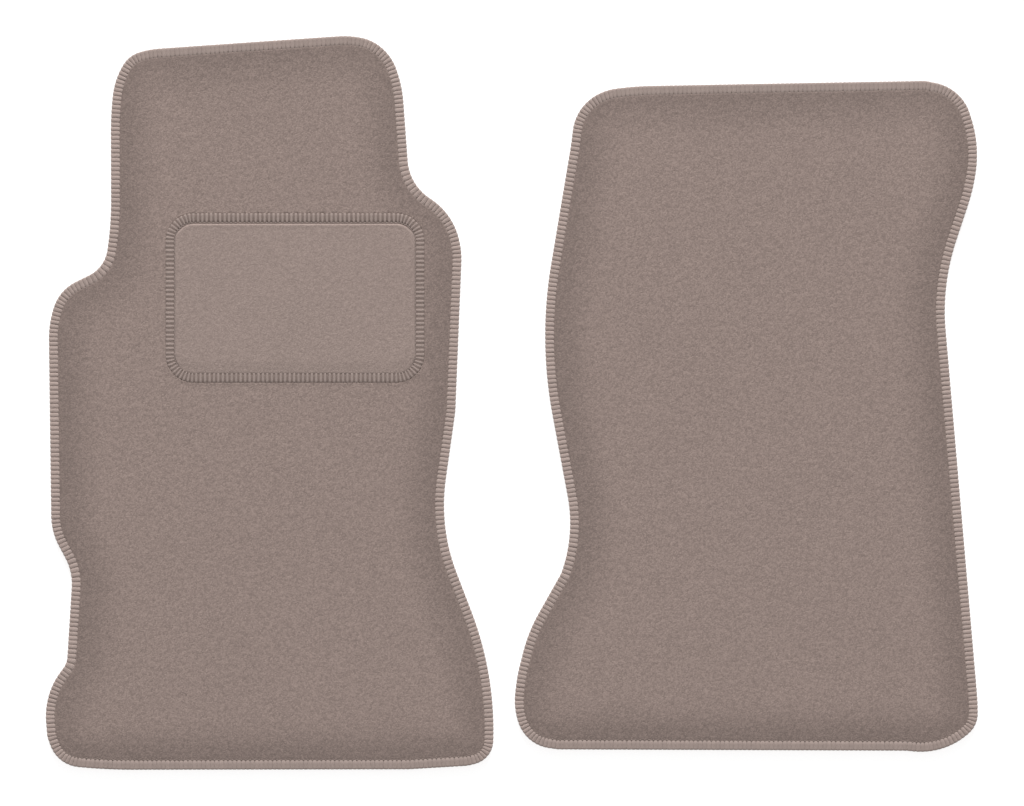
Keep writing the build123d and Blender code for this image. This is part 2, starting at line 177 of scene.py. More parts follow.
# ---------------------------------------------------------------------------
# Meshes
# ---------------------------------------------------------------------------
def build(name, points, polygons, attributes=()):
    """An object from points in mm and a list of polygon arrays (n by 3 or n by 4)."""
    points = np.array(points, float)
    rest = points.copy()
    points[:, 2] += lie(points[:, 0], points[:, 1])
    mesh = bpy.data.meshes.new(name)
    mesh.vertices.add(len(points))
    mesh.vertices.foreach_set("co", (points * 0.001).astype(np.float32).ravel())
    loops = np.concatenate([np.asarray(p, np.int32).ravel() for p in polygons])
    sizes = np.concatenate([np.full(len(p), np.asarray(p).shape[1], np.int32) for p in polygons])
    starts = np.concatenate([[0], np.cumsum(sizes)[:-1]]).astype(np.int32)
    mesh.loops.add(len(loops))
    mesh.loops.foreach_set("vertex_index", loops)
    mesh.polygons.add(len(sizes))
    mesh.polygons.foreach_set("loop_start", starts)
    mesh.update(calc_edges=True)
    mesh.validate()
    mesh.polygons.foreach_set("use_smooth", np.ones(len(mesh.polygons), bool))
    layer = mesh.attributes.new("rest", "FLOAT_VECTOR", "POINT")
    layer.data.foreach_set("vector", rest.astype(np.float32).ravel())
    for key, value in dict(attributes).items():
        value = np.asarray(value, np.float32)
        if value.ndim == 1:
            layer = mesh.attributes.new(key, "FLOAT", "POINT")
            layer.data.foreach_set("value", value)
        else:
            layer = mesh.attributes.new(key, "FLOAT_VECTOR", "POINT")
            layer.data.foreach_set("vector", value.ravel())
    mesh.update()
    obj = bpy.data.objects.new(name, mesh)
    bpy.context.scene.collection.objects.link(obj)
    return obj


def fill(loops, inner):
    """Triangles over the outer loop's inside, through every point given. Returns (points, triangles), loops first."""
    points = np.vstack([*loops, inner]) if len(inner) else np.vstack(loops)
    edges, at = [], 0
    for l in loops:
        n = len(l)
        edges += [(at + i, at + (i + 1) % n) for i in range(n)]
        at += n
    out = delaunay_2d_cdt([Vector(p) for p in points], edges, [], 0, 1e-7, True)
    first = [o[0] if o else -1 for o in out[3]]
    if min(first) < 0 or len(out[0]) != len(points):
        raise RuntimeError("loops cross")
    tris = np.array([[first[i] for i in f] for f in out[2]])
    a, b, c = points[tris[:, 0]], points[tris[:, 1]], points[tris[:, 2]]
    turn = (b[:, 0] - a[:, 0]) * (c[:, 1] - a[:, 1]) - (b[:, 1] - a[:, 1]) * (c[:, 0] - a[:, 0])
    if turn.sum() < 0:
        tris = tris[:, ::-1]
    # triangles outside the outer loop lie on its points only, and are reached across its edges
    n = len(loops[0])
    side = {}
    for t in np.flatnonzero((tris < n).all(1)):
        u, v, w = (int(x) for x in tris[t])
        side[u, v] = side[v, w] = side[w, u] = int(t)
    out, todo = set(), [side[(i + 1) % n, i] for i in range(n) if ((i + 1) % n, i) in side]
    while todo:
        t = todo.pop()
        if t in out:
            continue
        out.add(t)
        u, v, w = (int(x) for x in tris[t])
        for p, q in ((u, v), (v, w), (w, u)):
            if (q - p) % n != n - 1 and (q, p) in side:
                todo.append(side[q, p])
    keep = np.ones(len(tris), bool)
    keep[list(out)] = False
    tris = tris[keep]
    return points, tris


def hexes(box, step, jitter):
    """Points on a triangular grid, moved a little."""
    (x0, y0), (x1, y1) = box
    dy = step * math.sqrt(3) / 2
    ny, nx = int((y1 - y0) / dy) + 2, int((x1 - x0) / step) + 2
    gx, gy = np.meshgrid(np.arange(nx), np.arange(ny))
    x = x0 + (gx + 0.5 * (gy % 2)) * step
    y = y0 + gy * dy
    p = np.stack([x.ravel(), y.ravel()], 1)
    return p + RNG.uniform(-jitter, jitter, p.shape) * step


def strips(count, rows, first=0, closed=False):
    """Quads between consecutive loops of count points."""
    j = np.arange(count)
    k = (j + 1) % count
    out = []
    for i in range(rows if closed else rows - 1):
        a, b = first + i * count, first + ((i + 1) % rows) * count
        out.append(np.stack([a + j, a + k, b + k, b + j], 1))
    return np.concatenate(out)


def slab(name, outline, count, lower, rim, upper, grid_low, grid_top, z_low, z_top, extra=()):
    """A closed sheet. rim is a list of (depth, z) loops from the bottom edge to the top's first loop;
    grid_low and grid_top are the inner points; z_low(points) and z_top(points, depth) give their heights."""
    loops = [outline.loop(count, d) for d, _ in rim]
    body = [np.column_stack([l, z * np.ones(count)]) for l, (_, z) in zip(loops, rim)]
    depth = [d * np.ones(count) for d, _ in rim]
    quads = strips(count, len(rim))
    total = count * len(rim)
    # top
    extra = [np.asarray(e) for e in extra]
    pts, tris = fill([loops[-1], *extra], grid_top)
    new = pts[count:]
    dnew = outline.depth(new)
    body.append(np.column_stack([new, z_top(new, dnew)]))
    depth.append(dnew)
    top = np.where(tris < count, tris + count * (len(rim) - 1), tris - count + total)
    total += len(new)
    # bottom
    pts, tris = fill([loops[0]], grid_low)
    new = pts[count:]
    body.append(np.column_stack([new, z_low(new)]))
    depth.append(outline.depth(new))
    low = np.where(tris < count, tris, tris - count + total)[:, ::-1]
    points, depth = np.vstack(body), np.concatenate(depth)
    return build(name, points, [quads, top, low], {"edge": depth})


def inner_grid(outline, step, jitter, clear):
    loop = outline.loop(600, 0)
    p = hexes((loop.min(0), loop.max(0)), step, jitter)
    return p[outline.depth(p) > clear]


def rows_grid(outline, step_x, step_y, clear):
    """A plain grid whose rows run along x, so that a bend about x crosses many of them."""
    loop = outline.loop(600, 0)
    lo, hi = loop.min(0), loop.max(0)
    gx, gy = np.meshgrid(np.arange(lo[0], hi[0], step_x), np.arange(lo[1], hi[1], step_y))
    p = np.stack([(gx + 0.37 * (np.arange(gx.shape[0]) % 2)[:, None] * step_x).ravel(), gy.ravel()], 1)
    return p[outline.depth(p) > clear]


def wraps(name, outline, places, path, half, thick, sides=10, power=2.3, wobble=0.0,
          lean=None, ends=(0.25, 0.25), seed=1, close=0.0, pull=None, lift=0.0, dip=0.0):
    """Separate rounded bars over an edge. path is (depth, z) along each bar's middle line, half its half width
    along the edge and thick its half thickness at each of those points. Bars at the toe and heel ends lie closer
    by close, which leaves shallower grooves between them. pull gives how much further in each bar's inner end
    goes, from the way the edge faces, lift how far the bars' outsides stand towards the toe end, and dip how much
    lower the inner ends lie at the heel end."""
    rng = np.random.default_rng(seed)
    path = np.array(path, float)
    half, thick = np.asarray(half, float), np.asarray(thick, float)
    k, m = len(places), len(path)
    step = np.gradient(path, axis=0)
    step /= np.hypot(*step.T)[:, None]
    normal = np.stack([-step[:, 1], step[:, 0]], 1)  # in (depth, z)
    along = np.concatenate([[0], np.cumsum(np.hypot(*np.diff(path, axis=0).T))])
    phi = np.arange(sides) / sides * 2 * np.pi
    co, si = np.cos(phi), np.sin(phi)
    ex = np.sign(co) * np.abs(co) ** (2 / power)
    ey = np.sign(si) * np.abs(si) ** (2 / power)
    shift = rng.normal(0, wobble, k)
    wide = 1 + rng.normal(0, 0.35 * wobble, k)
    facing = outline.sample(places)[1][:, 1]
    high = rng.normal(0, 0.5 * wobble, k)
    reach = rng.normal(0, 0.9 * wobble, k)
    tilt = rng.normal(0, 0.5 * wobble, k)
    lean = np.zeros(m) if lean is None else np.asarray(lean, float)
    near = smooth(1 - along / max(along[-1] * 0.25, 1e-6))  # 1 at the top inner end
    up = smooth(path[:, 1] / max(path[:, 1].max(), 1e-6) * 1.5 - 0.5)
    wide = wide[:, None] * (1 + close * facing[:, None] ** 2 * smooth((along - 2.0) / 2.0)[None, :])
    inward = np.zeros((k, m)) if pull is None else pull(facing)[:, None] * smooth(1 - along / 5.0)[None, :]
    inward = inward - lift * facing[:, None] * (1 - smooth(path[:, 0] / 2.0))[None, :]
    heel = smooth((-facing - 0.25) / 0.6)[:, None, None]
    sink = dip * heel * smooth((path[:, 0] - 6.6) / 2.2)[None, :, None] * smooth(1.6 - along / 5.0)[None, :, None]
    s = (places[:, None, None] + shift[:, None, None] + (lean + tilt[:, None] * (path[:, 0] / 9.0))[:, :, None]
         + (half[None, :] * wide)[:, :, None] * ex[None, None, :])
    d = ((path[:, 0][None, :] + inward)[:, :, None] + reach[:, None, None] * near[None, :, None]
         + thick[None, :, None] * normal[:, 0][None, :, None] * ey[None, None, :])
    z = (path[:, 1][None, :, None] + high[:, None, None] * up[None, :, None]
         + thick[None, :, None] * normal[:, 1][None, :, None] * ey[None, None, :]) - sink
    s, d, z = (np.broadcast_to(a, (k, m, sides)).reshape(-1) for a in (s, d, z))
    xy = outline.at(s, d)
    ring = np.column_stack([xy, z])
    # rounded tips
    tips = []
    for e, (row, inner) in enumerate(((0, 1), (m - 1, m - 2))):
        out = path[row] - path[inner]
        out /= np.hypot(*out)
        sc = places + shift + lean[row] + tilt * path[row, 0] / 9.0
        dd = path[row, 0] + out[0] * ends[e] + reach * near[row]
        zz = path[row, 1] + out[1] * ends[e] + high * up[row]
        tips.append(np.column_stack([outline.at(sc, dd * np.ones(k)), zz * np.ones(k)]))
    points = np.vstack([ring, *tips])
    base = (np.arange(k) * m * sides)[:, None]
    i = np.arange(sides)
    j = (i + 1) % sides
    quads = []
    for r in range(m - 1):
        a, b = r * sides, (r + 1) * sides
        quads.append((base[:, :, None] + np.stack([a + i, a + j, b + j, b + i], 1)[None]).reshape(-1, 4))
    quads = np.concatenate(quads)
    t0 = k * m * sides + np.arange(k)
    t1 = t0 + k
    first = np.stack([np.repeat(t0, sides), (base + j).ravel(), (base + i).ravel()], 1)
    last = np.stack([np.repeat(t1, sides), (base + (m - 1) * sides + i).ravel(), (base + (m - 1) * sides + j).ravel()], 1)
    # outwards: compare one face's normal with the way from the bar's middle line
    q = quads[0]
    n = np.cross(points[q[1]] - points[q[0]], points[q[2]] - points[q[0]])
    centre = points[:sides].mean(0)
    if n @ (points[q].mean(0) - centre) < 0:
        quads, first, last = quads[:, ::-1], first[:, ::-1], last[:, ::-1]
    across = np.broadcast_to(half[None, :, None] * ex[None, None, :], (k, m, sides)).reshape(-1)
    run = np.broadcast_to(along[None, :, None], (k, m, sides)).reshape(-1)
    own = rng.random(k)
    rnd = np.repeat(own, m * sides)
    yarn = np.column_stack([
        np.concatenate([across, np.zeros(2 * k)]),
        np.concatenate([run, np.zeros(k), np.full(k, along[-1])]),
        np.concatenate([rnd, own, own]),
    ])
    # cross: how far each bar runs towards the key light, which the yarn material turns into painted shade
    facing = np.abs(outline.sample(places)[1][:, 1])
    cross = np.concatenate([np.repeat(facing, m * sides), facing, facing])
    return build(name, points, [quads, first, last], {"yarn": yarn, "cross": cross})


def band(name, outline, count, section):
    """A closed ring with the given closed (depth, z) section."""
    section = np.array(section, float)
    m = len(section)
    pts = np.vstack([np.column_stack([outline.loop(count, d), np.full(count, z)]) for d, z in section])
    quads = strips(count, m, closed=True)
    q = quads[0]
    n = np.cross(pts[q[1]] - pts[q[0]], pts[q[2]] - pts[q[0]])
    middle = np.array([*outline.loop(count, section[:, 0].mean())[0], section[:, 1].mean()])
    if n @ (pts[q].mean(0) - middle) < 0:
        quads = quads[:, ::-1]
    s = np.tile(np.arange(count) * outline.length / count, m)
    run = np.repeat(np.concatenate([[0], np.cumsum(np.hypot(*np.diff(section, axis=0).T))]), count)
    yarn = np.column_stack([s, run, np.full(len(s), 0.5)])
    return build(name, pts, [quads], {"yarn": yarn})


# ---------------------------------------------------------------------------
# Materials
# ---------------------------------------------------------------------------
def srgb(r, g, b, scale=1.0):
    f = lambda v: ((v / 255 + 0.055) / 1.055) ** 2.4 * scale
    return (f(r), f(g), f(b))


class Tree:
    """A material's nodes, with its shader."""

    def __init__(self, name, **fixed):
        self.material = bpy.data.materials.new(name)
        self.material.use_nodes = True
        self.tree = self.material.node_tree
        self.tree.nodes.clear()
        out = self.tree.nodes.new("ShaderNodeOutputMaterial")
        self.shader = self.tree.nodes.new("ShaderNodeBsdfPrincipled")
        self.tree.links.new(self.shader.outputs[0], out.inputs["Surface"])
        for key, value in fixed.items():
            self.shader.inputs[key.replace("_", " ")].default_value = value

    def node(self, kind, props=None, **inputs):
        n = self.tree.nodes.new("ShaderNode" + kind)
        for key, value in (props or {}).items():
            setattr(n, key, value)
        for key, value in inputs.items():
            self.put(n.inputs[key.replace("_", " ")], value)
        return n

    def put(self, socket, value):
        if isinstance(value, bpy.types.NodeSocket):
            self.tree.links.new(value, socket)
        else:
            socket.default_value = value

    def math(self, operation, a, b=None, c=None):
        n = self.tree.nodes.new("ShaderNodeMath")
        n.operation = operation
        for i, v in enumerate((a, b, c)):
            if v is not None:
                self.put(n.inputs[i], v)
        return n.outputs[0]

    def remap(self, value, a, b, c, d, kind="LINEAR"):
        n = self.tree.nodes.new("ShaderNodeMapRange")
        n.interpolation_type = kind
        for i, v in enumerate((value, a, b, c, d)):
            self.put(n.inputs[i], v)
        return n.outputs[0]

    def attribute(self, name, output):
        n = self.tree.nodes.new("ShaderNodeAttribute")
        n.attribute_name = name
        return n.outputs[output]

    def scaled(self, vector, x, y=None, z=None):
        n = self.tree.nodes.new("ShaderNodeVectorMath")
        n.operation = "MULTIPLY"
        self.put(n.inputs[0], vector)
        n.inputs[1].default_value = (x, x if y is None else y, x if z is None else z)
        return n.outputs[0]

    def tint(self, colour, factor):
        n = self.tree.nodes.new("ShaderNodeVectorMath")
        n.operation = "SCALE"
        n.inputs[0].default_value = colour
        self.put(n.inputs["Scale"], factor)
        return n.outputs[0]

    def finish(self, colour, height=None, strength=1.0, distance=0.001, roughness=None):
        self.put(self.shader.inputs["Base Color"], colour)
        if roughness is not None:
            self.put(self.shader.inputs["Roughness"], roughness)
        if height is not None:
            bump = self.tree.nodes.new("ShaderNodeBump")
            bump.inputs["Strength"].default_value = strength
            bump.inputs["Distance"].default_value = distance
            self.put(bump.inputs["Height"], height)
            self.put(self.shader.inputs["Normal"], bump.outputs[0])
        return self.material


def pile_material(name, colour, tuft, spread, edge):
    """Cut pile: tufts tuft mm apart whose tips differ a little, fibres on them, with painted shade that darkens it
    towards the mat's edge.
    """
    t = Tree(name, Roughness=0.95, Specular_IOR_Level=0.15, Sheen_Weight=0.12, Sheen_Roughness=0.6)
    rest = t.attribute("rest", "Vector")
    cells = t.node("TexVoronoi", {"feature": "F1", "voronoi_dimensions": "3D"}, Vector=rest, Scale=1.0 / tuft, Randomness=0.85)
    tone = t.node("SeparateColor", Color=cells.outputs["Color"]).outputs[0]
    fibre = t.node("TexNoise", {"noise_dimensions": "3D"}, Vector=rest, Scale=1.55, Detail=2.0, Roughness=0.6).outputs[0]
    nap = t.node("TexNoise", {"noise_dimensions": "3D"}, Vector=rest, Scale=0.012, Detail=1.0).outputs[0]
    factor = t.remap(tone, 0.0, 1.0, 1.0 - spread, 1.0 + spread)
    factor = t.math("MULTIPLY", factor, t.remap(fibre, 0.25, 0.75, 1.0 - spread, 1.0 + spread))
    factor = t.math("MULTIPLY", factor, t.remap(nap, 0.3, 0.7, 0.99, 1.01))
    # painted shade: the gaps between tufts are darker than their tips
    gap = cells.outputs["Distance"]
    factor = t.math("MULTIPLY", factor, t.remap(gap, 0.15, 0.75, 1.03, 0.93))
    # painted shade: the pile's colour falls to 0.8 towards the outline, from 56 mm in to 10 mm in
    if edge:
        factor = t.math("MULTIPLY", factor, t.remap(t.attribute("edge", "Fac"), 10.0, 56.0, 0.80, 1.0, "SMOOTHSTEP"))
    height = t.math("ADD", t.math("MULTIPLY", t.math("SUBTRACT", 1.0, gap), 0.6), t.math("MULTIPLY", fibre, 0.8))
    return t.finish(t.tint(colour, factor), height, 0.6, 0.0005)


def yarn_material(name, colour, strand, lay, groove_shade=0.82, sheen=0.2, cross=0.0):
    """Plied yarn: strands strand mm apart that run along the bar and twist round each other, with painted shade in the
    grooves between them.
    Bars that run towards the key light are darker by cross: painted shade for the key light falling along them."""
    t = Tree(name, Roughness=0.8, Specular_IOR_Level=0.25, Sheen_Weight=sheen, Sheen_Roughness=0.5)
    yarn = t.node("SeparateXYZ", Vector=t.attribute("yarn", "Vector"))
    across, along, own = yarn.outputs
    rest = t.attribute("rest", "Vector")
    wander = t.node("TexNoise", {"noise_dimensions": "3D"}, Vector=rest, Scale=0.7, Detail=1.0).outputs[0]
    turn = t.math("ADD", across, t.math("MULTIPLY", along, lay))
    turn = t.math("ADD", turn, t.math("MULTIPLY", t.math("ADD", wander, own), 0.9))
    wave = t.math("SINE", t.math("MULTIPLY", turn, 2 * math.pi / strand))
    fibre = t.node("TexNoise", {"noise_dimensions": "3D"}, Vector=rest, Scale=2.2, Detail=2.0, Roughness=0.6).outputs[0]
    # painted shade: the yarn is darker in the grooves between its twisted strands
    factor = t.remap(wave, -1.0, 1.0, groove_shade, 1.06)
    factor = t.math("MULTIPLY", factor, t.remap(own, 0.0, 1.0, 0.965, 1.035))
    # painted shade: bars that run towards the key light are darkened by cross
    if cross:
        factor = t.math("MULTIPLY", factor, t.remap(t.attribute("cross", "Fac"), 0.0, 1.0, 1.0, 1.0 - cross))
    factor = t.math("MULTIPLY", factor, t.remap(fibre, 0.25, 0.75, 0.93, 1.07))
    height = t.math("ADD", t.math("MULTIPLY", wave, 0.5), t.math("MULTIPLY", fibre, 0.7))
    return t.finish(t.tint(colour, factor), height, 0.45, 0.0003)


def scrim_material(name, colour):
    """Plain weave of flat tape yarns, 1.2 mm apart."""
    t = Tree(name, Roughness=0.7, Specular_IOR_Level=0.3)
    rest = t.node("SeparateXYZ", Vector=t.attribute("rest", "Vector"))
    x, y, _ = rest.outputs
    wx = t.math("SINE", t.math("MULTIPLY", x, 2 * math.pi / 2.4))
    wy = t.math("SINE", t.math("MULTIPLY", y, 2 * math.pi / 2.4))
    over = t.math("MULTIPLY", wx, wy)
    weft = t.math("ABSOLUTE", wx)
    warp = t.math("ABSOLUTE", wy)
    pick = t.math("GREATER_THAN", over, 0.0)
    height = t.math("ADD", t.math("MULTIPLY", pick, weft), t.math("MULTIPLY", t.math("SUBTRACT", 1.0, pick), warp))
    # painted shade: the weave's colour drops to 0.6 where the tapes dip
    return t.finish(t.tint(colour, t.remap(height, 0.0, 1.0, 0.6, 1.1)), height, 0.6, 0.0003)


def rubber_material(name, colour):
    """Moulded rubber, faintly granular and chalky."""
    t = Tree(name, Specular_IOR_Level=0.35)
    rest = t.attribute("rest", "Vector")
    grain = t.node("TexNoise", {"noise_dimensions": "3D"}, Vector=rest, Scale=1.4, Detail=3.0, Roughness=0.65).outputs[0]
    cloud = t.node("TexNoise", {"noise_dimensions": "3D"}, Vector=rest, Scale=0.03, Detail=2.0).outputs[0]
    factor = t.math("MULTIPLY", t.remap(grain, 0.3, 0.7, 0.85, 1.2), t.remap(cloud, 0.3, 0.7, 0.9, 1.15))
    return t.finish(t.tint(colour, factor), grain, 0.5, 0.0004, t.remap(cloud, 0.3, 0.7, 0.62, 0.78))


GAIN = 1.0
PILE = pile_material("carpet_pile", srgb(147, 130, 123, 1.05 * GAIN), 1.25, 0.18, True)
PAD_PILE = pile_material("heel_pad_pile", srgb(154, 137, 130, 1.03 * GAIN), 1.15, 0.135, False)
EDGE_YARN = yarn_material("edge_yarn", srgb(165, 148, 141, 1.14 * GAIN), 1.15, 0.22, cross=0.12)
PAD_YARN = yarn_material("pad_border_yarn", srgb(162, 145, 138, 1.06 * GAIN), 0.9, 0.3, cross=0.06)
# painted shade: the ground under the pad's border bars is a darker yarn, for the shade in the gaps between the bars
PAD_GROUND_SHADE = yarn_material("pad_border_ground", srgb(131, 115, 108, 1.0 * GAIN), 1.1, 0.0, 0.8)
THREAD = yarn_material("thread", srgb(158, 141, 134, 1.0 * GAIN), 0.5, 0.6, 0.85)
SCRIM = scrim_material("scrim", srgb(120, 106, 98))
RUBBER = rubber_material("antislip_rubber", srgb(46, 44, 43))


# ---------------------------------------------------------------------------
# The two mats
# ---------------------------------------------------------------------------
def pile(name, outline, pad=None):
    count = int(round(outline.length / 2.0))
    facing = outline.sample(np.arange(count) * outline.length / count)[1][:, 1]
    more = further(np.minimum(facing, 0.0)) + 0.5 * smooth(facing / 0.87)
    heel = smooth((-facing - 0.25) / 0.6)
    toe = smooth(facing / 0.87)
    rim = [(1.6, 2.85), (1.6, 4.9), (5.0, 4.92), (7.2 + more, 5.0), (7.9 + more, 5.3),
           (8.5 + more, 5.8 - 0.05 * heel + 0.3 * toe), (9.0 + more, 6.13 - 0.26 * heel + 0.19 * toe),
           (9.6 + more, 6.32 - 0.37 * heel + 0.07 * toe),
           (10.4 + 0.8 * more, 6.40 - 0.36 * heel), (11.8 + 0.2 * more, 6.42 - 0.27 * heel)]
    heel_y = outline.loop(600, 0)[:, 1].min()
    top = inner_grid(outline, 1.95, 0.22, 12.9)
    extra = []
    if pad is not None:
        rings = [(-0.5, 560), (0.05, 560), (0.3, 560), (0.6, 560), (1.1, 560)]
        extra = [pad.loop(n, d) for d, n in rings]
        deep = pad.depth(top)
        keep = deep < -1.8
        under = hexes(((PAD_X - 130, PAD_Y - 86), (PAD_X + 130, PAD_Y + 86)), 6.0, 0.1)
        under = under[pad.depth(under) > 4.0]
        top = np.vstack([top[keep], under])

    def heights(p, d):
        # the overlock presses the pile down, less and less over 25 mm
        z = 7.0 - 0.58 * (1 - smooth((d - 8.0) / 27))
        z = z + np.clip(RNG.normal(0, 0.115, len(p)), -0.27, 0.27)
        z = z - 0.28 * smooth((heel_y + 34 - p[:, 1]) / 12) * (1 - smooth((d - 11) / 14))
        if pad is not None:
            e = pad.depth(p)
            z = z + 0.4 * smooth((e + 2.0) / 1.7) * smooth((PAD_Y - 60 - p[:, 1]) / 15)
            z = np.where(e > 0.95, 4.95, z - 2.3 * smooth((e - 0.3) / 0.65))
        return z

    low = rows_grid(outline, 9.0, 7.0, 6.0)
    return slab(name, outline, count, None, rim, None, low, top,
                lambda p: np.full(len(p), 2.85), heights, extra)


def scrim(name, outline, z0=2.03, z1=2.80, clear=1.7):
    count = int(round(outline.length / 5.0))
    grid = rows_grid(outline, 9.0, 7.0, 6.0)
    return slab(name, outline, count, None, [(clear, z0), (clear, z1)], None, grid, grid,
                lambda p: np.full(len(p), z0), lambda p, d: np.full(len(p), z1))


def backing(name, outline):
    """Rubber with a field of small blunt nubs underneath, which the mat stands on."""
    count = int(round(outline.length / 3.0))
    rim = [(9.4, 0.62), (8.9, 1.02), (1.7, 1.05), (1.7, 2.0)]
    top = rows_grid(outline, 9.0, 7.0, 6.0)
    loop = outline.loop(600, 0)
    centres = hexes((loop.min(0), loop.max(0)), 7.6, 0.0)
    centres = centres[outline.depth(centres) > 14.0]
    ang = np.arange(6) / 6 * 2 * np.pi
    rings = [centres]
    for radius, turn in ((1.05, 0.0), (1.75, math.pi / 6)):
        off = radius * np.stack([np.cos(ang + turn), np.sin(ang + turn)], 1)
        rings.append((centres[:, None, :] + off[None]).reshape(-1, 2))
    low = np.vstack(rings)
    n = len(centres)
    z = np.concatenate([np.zeros(n), np.full(6 * n, 0.06), np.full(6 * n, 0.62)])
    return slab(name, outline, count, None, rim, None, low, top,
                lambda p: z, lambda p, d: np.full(len(p), 2.0))


#          depth   z     half   thick
WRAP = [
    (9.95, 5.25, 0.65, 0.28),
    (9.60, 5.50, 1.20, 0.42),
    (9.00, 5.62, 1.70, 0.56),
    (8.20, 5.72, 2.05, 0.72),
    (7.40, 5.74, 2.26, 0.88),
    (6.60, 5.73, 2.34, 0.96),
    (5.40, 5.68, 2.36, 0.96),
    (3.60, 5.66, 2.36, 0.96),
    (2.20, 5.66, 2.36, 0.96),
    (0.90, 5.80, 2.36, 0.82),
    (0.42, 5.60, 2.36, 0.70),
    (0.40, 5.00, 2.36, 0.60),
    (0.44, 4.20, 2.36, 0.64),
    (0.50, 3.20, 2.34, 0.70),
    (0.56, 2.20, 2.34, 0.68),
    (0.84, 1.20, 2.34, 0.60),
    (1.70, 0.66, 2.34, 0.52),
    (4.20, 0.50, 2.30, 0.47),
    (7.40, 0.52, 2.15, 0.44),
    (8.30, 0.66, 1.50, 0.32),
]


def further(facing):
    """How much further in the wraps reach, in mm, where the edge faces the heel end (-1) to the toe end (1)."""
    return (-0.2 + 0.5 * smooth(-facing / 0.87) + 0.35 * smooth((-facing - 0.85) / 0.15)
            + 0.9 * smooth(facing / 0.87))


def edge(name, outline, seed):
    n = int(round(outline.length / PITCH))
    scale = outline.length / n / PITCH
    w = np.array(WRAP)
    return wraps(name, outline, (np.arange(n) + 0.5) * outline.length / n, w[:, :2], w[:, 2] * scale, w[:, 3],
                 sides=10, power=1.9, wobble=0.07, ends=(0.22, 0.3), seed=seed, close=0.10, pull=further, lift=0.22, dip=0.34)


def thread(name, outline, seed, depth=9.25, z=5.78, n=None, long=1.25, wide=0.38, pull=None):
    """The locked stitches along the inner ends of the wraps: one short bead between each two."""
    n = n or int(round(outline.length / PITCH))
    t = np.linspace(-1, 1, 6)
    path = np.column_stack([depth - wide * t * 0.9, z - 0.18 * t * t])
    half = long * np.sqrt(np.clip(1 - 0.8 * t * t, 0, 1))
    thick = 0.30 * np.sqrt(np.clip(1 - 0.6 * t * t, 0, 1))
    return wraps(name, outline, np.arange(n) * outline.length / n, path, half, thick,
                 sides=8, power=2.0, wobble=0.05, lean=0.25 * t, ends=(0.1, 0.1), seed=seed, pull=pull)


for key, outline, bend_y, seed in (("driver", DRIVER, 0.215, 11), ("passenger", PASSENGER, 0.165, 29)):
    parts = {
        "pile": pile(key + "_tufted_pile", outline, PAD if key == "driver" else None),
        "scrim": scrim(key + "_woven_backing", outline),
        "rubber": backing(key + "_rubber_backing", outline),
        "edge": edge(key + "_overlock_wraps", outline, seed),
        "thread": thread(key + "_needle_stitches", outline, seed + 1, pull=further),
    }
    for part, material, slot, node in (
        ("pile", PILE, "carpet_pile", "carpet_pile"),
        ("scrim", SCRIM, "scrim", "primary_backing"),
        ("rubber", RUBBER, "antislip_rubber", "antislip_backing"),
        ("edge", EDGE_YARN, "edge_yarn", "edge_yarn"),
        ("thread", THREAD, "thread", "needle_thread"),
    ):
        obj = parts[part]
        obj.data.materials.append(material)
        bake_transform(obj)
        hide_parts(f"{key}_{node}", f"{key}_toe_{node}")

# ---------------------------------------------------------------------------
# The heel pad
# ---------------------------------------------------------------------------
PAD_DOWN = 0.9  # the pad is sewn down into the pile by this much
pad_count = int(round(PAD.length / 1.6))
pad_facing = PAD.sample(np.arange(pad_count) * PAD.length / pad_count)[1][:, 1]
top_side, low_side = smooth((pad_facing - 0.25) / 0.5), smooth((-pad_facing - 0.25) / 0.5)
pad_rim = [(1.2, 6.86), (1.2, 7.42), (7.6, 7.55), (8.6 + 1.6 * top_side + 0.5 * low_side, 7.68 + 0.4 * low_side),
           (9.2 + 1.4 * top_side + 0.4 * low_side, 7.90 + 0.55 * low_side - 0.1 * top_side),
           (9.5 + 1.45 * top_side + 0.5 * low_side, 8.48 + 0.06 * low_side - 0.23 * top_side),
           (9.8 + 1.65 * top_side + 0.5 * low_side, 8.98 - 0.36 * low_side - 0.03 * top_side),
           (10.2 + 1.75 * top_side + 0.5 * low_side, 9.22 - 0.52 * low_side + 0.33 * top_side),
           (10.9 + 1.6 * top_side + 0.3 * low_side, 9.34 - 0.58 * low_side + 0.3 * top_side)]
pad_rim = [(d, z - PAD_DOWN) for d, z in pad_rim]
pad_grid = inner_grid(PAD, 1.45, 0.22, 11.8)
pad_grid = pad_grid[(PAD.depth(pad_grid) > 13.9) | (pad_grid[:, 1] < PAD_Y + 45)]
pad_pile = slab(
    "heel_pad_pile_sheet", PAD, pad_count, None, pad_rim, None,
    rows_grid(PAD, 9.0, 7.0, 6.0), pad_grid,
    lambda p: np.full(len(p), 6.86 - PAD_DOWN),
    lambda p, d: (9.38 - PAD_DOWN + np.clip(RNG.normal(0, 0.085, len(p)), -0.2, 0.2)
                  - 0.6 * smooth((PAD_Y - 55 - p[:, 1]) / 15) * (1 - smooth((d - 10.5) / 13))),
)
pad_scrim = scrim("heel_pad_woven_backing", PAD, 6.05 - PAD_DOWN, 6.80 - PAD_DOWN, 1.3)
# painted shade: this darker ring under the bars stands for the shade in the gaps between them
pad_ground = band("heel_pad_border_ground", PAD, pad_count, [(d, z - PAD_DOWN) for d, z in (
    (0.42, 6.0), (0.34, 7.3), (0.55, 8.05), (1.2, 8.36), (4.2, 8.42), (7.2, 8.38), (8.3, 8.16), (8.7, 7.75),
    (4.2, 7.62), (1.3, 7.56), (1.15, 6.0))])
n_bar = int(round(PAD.length / PITCH))


def pad_further(facing):
    return 1.0 * smooth((facing - 0.25) / 0.5) + 0.9 * smooth((-facing - 0.25) / 0.5)


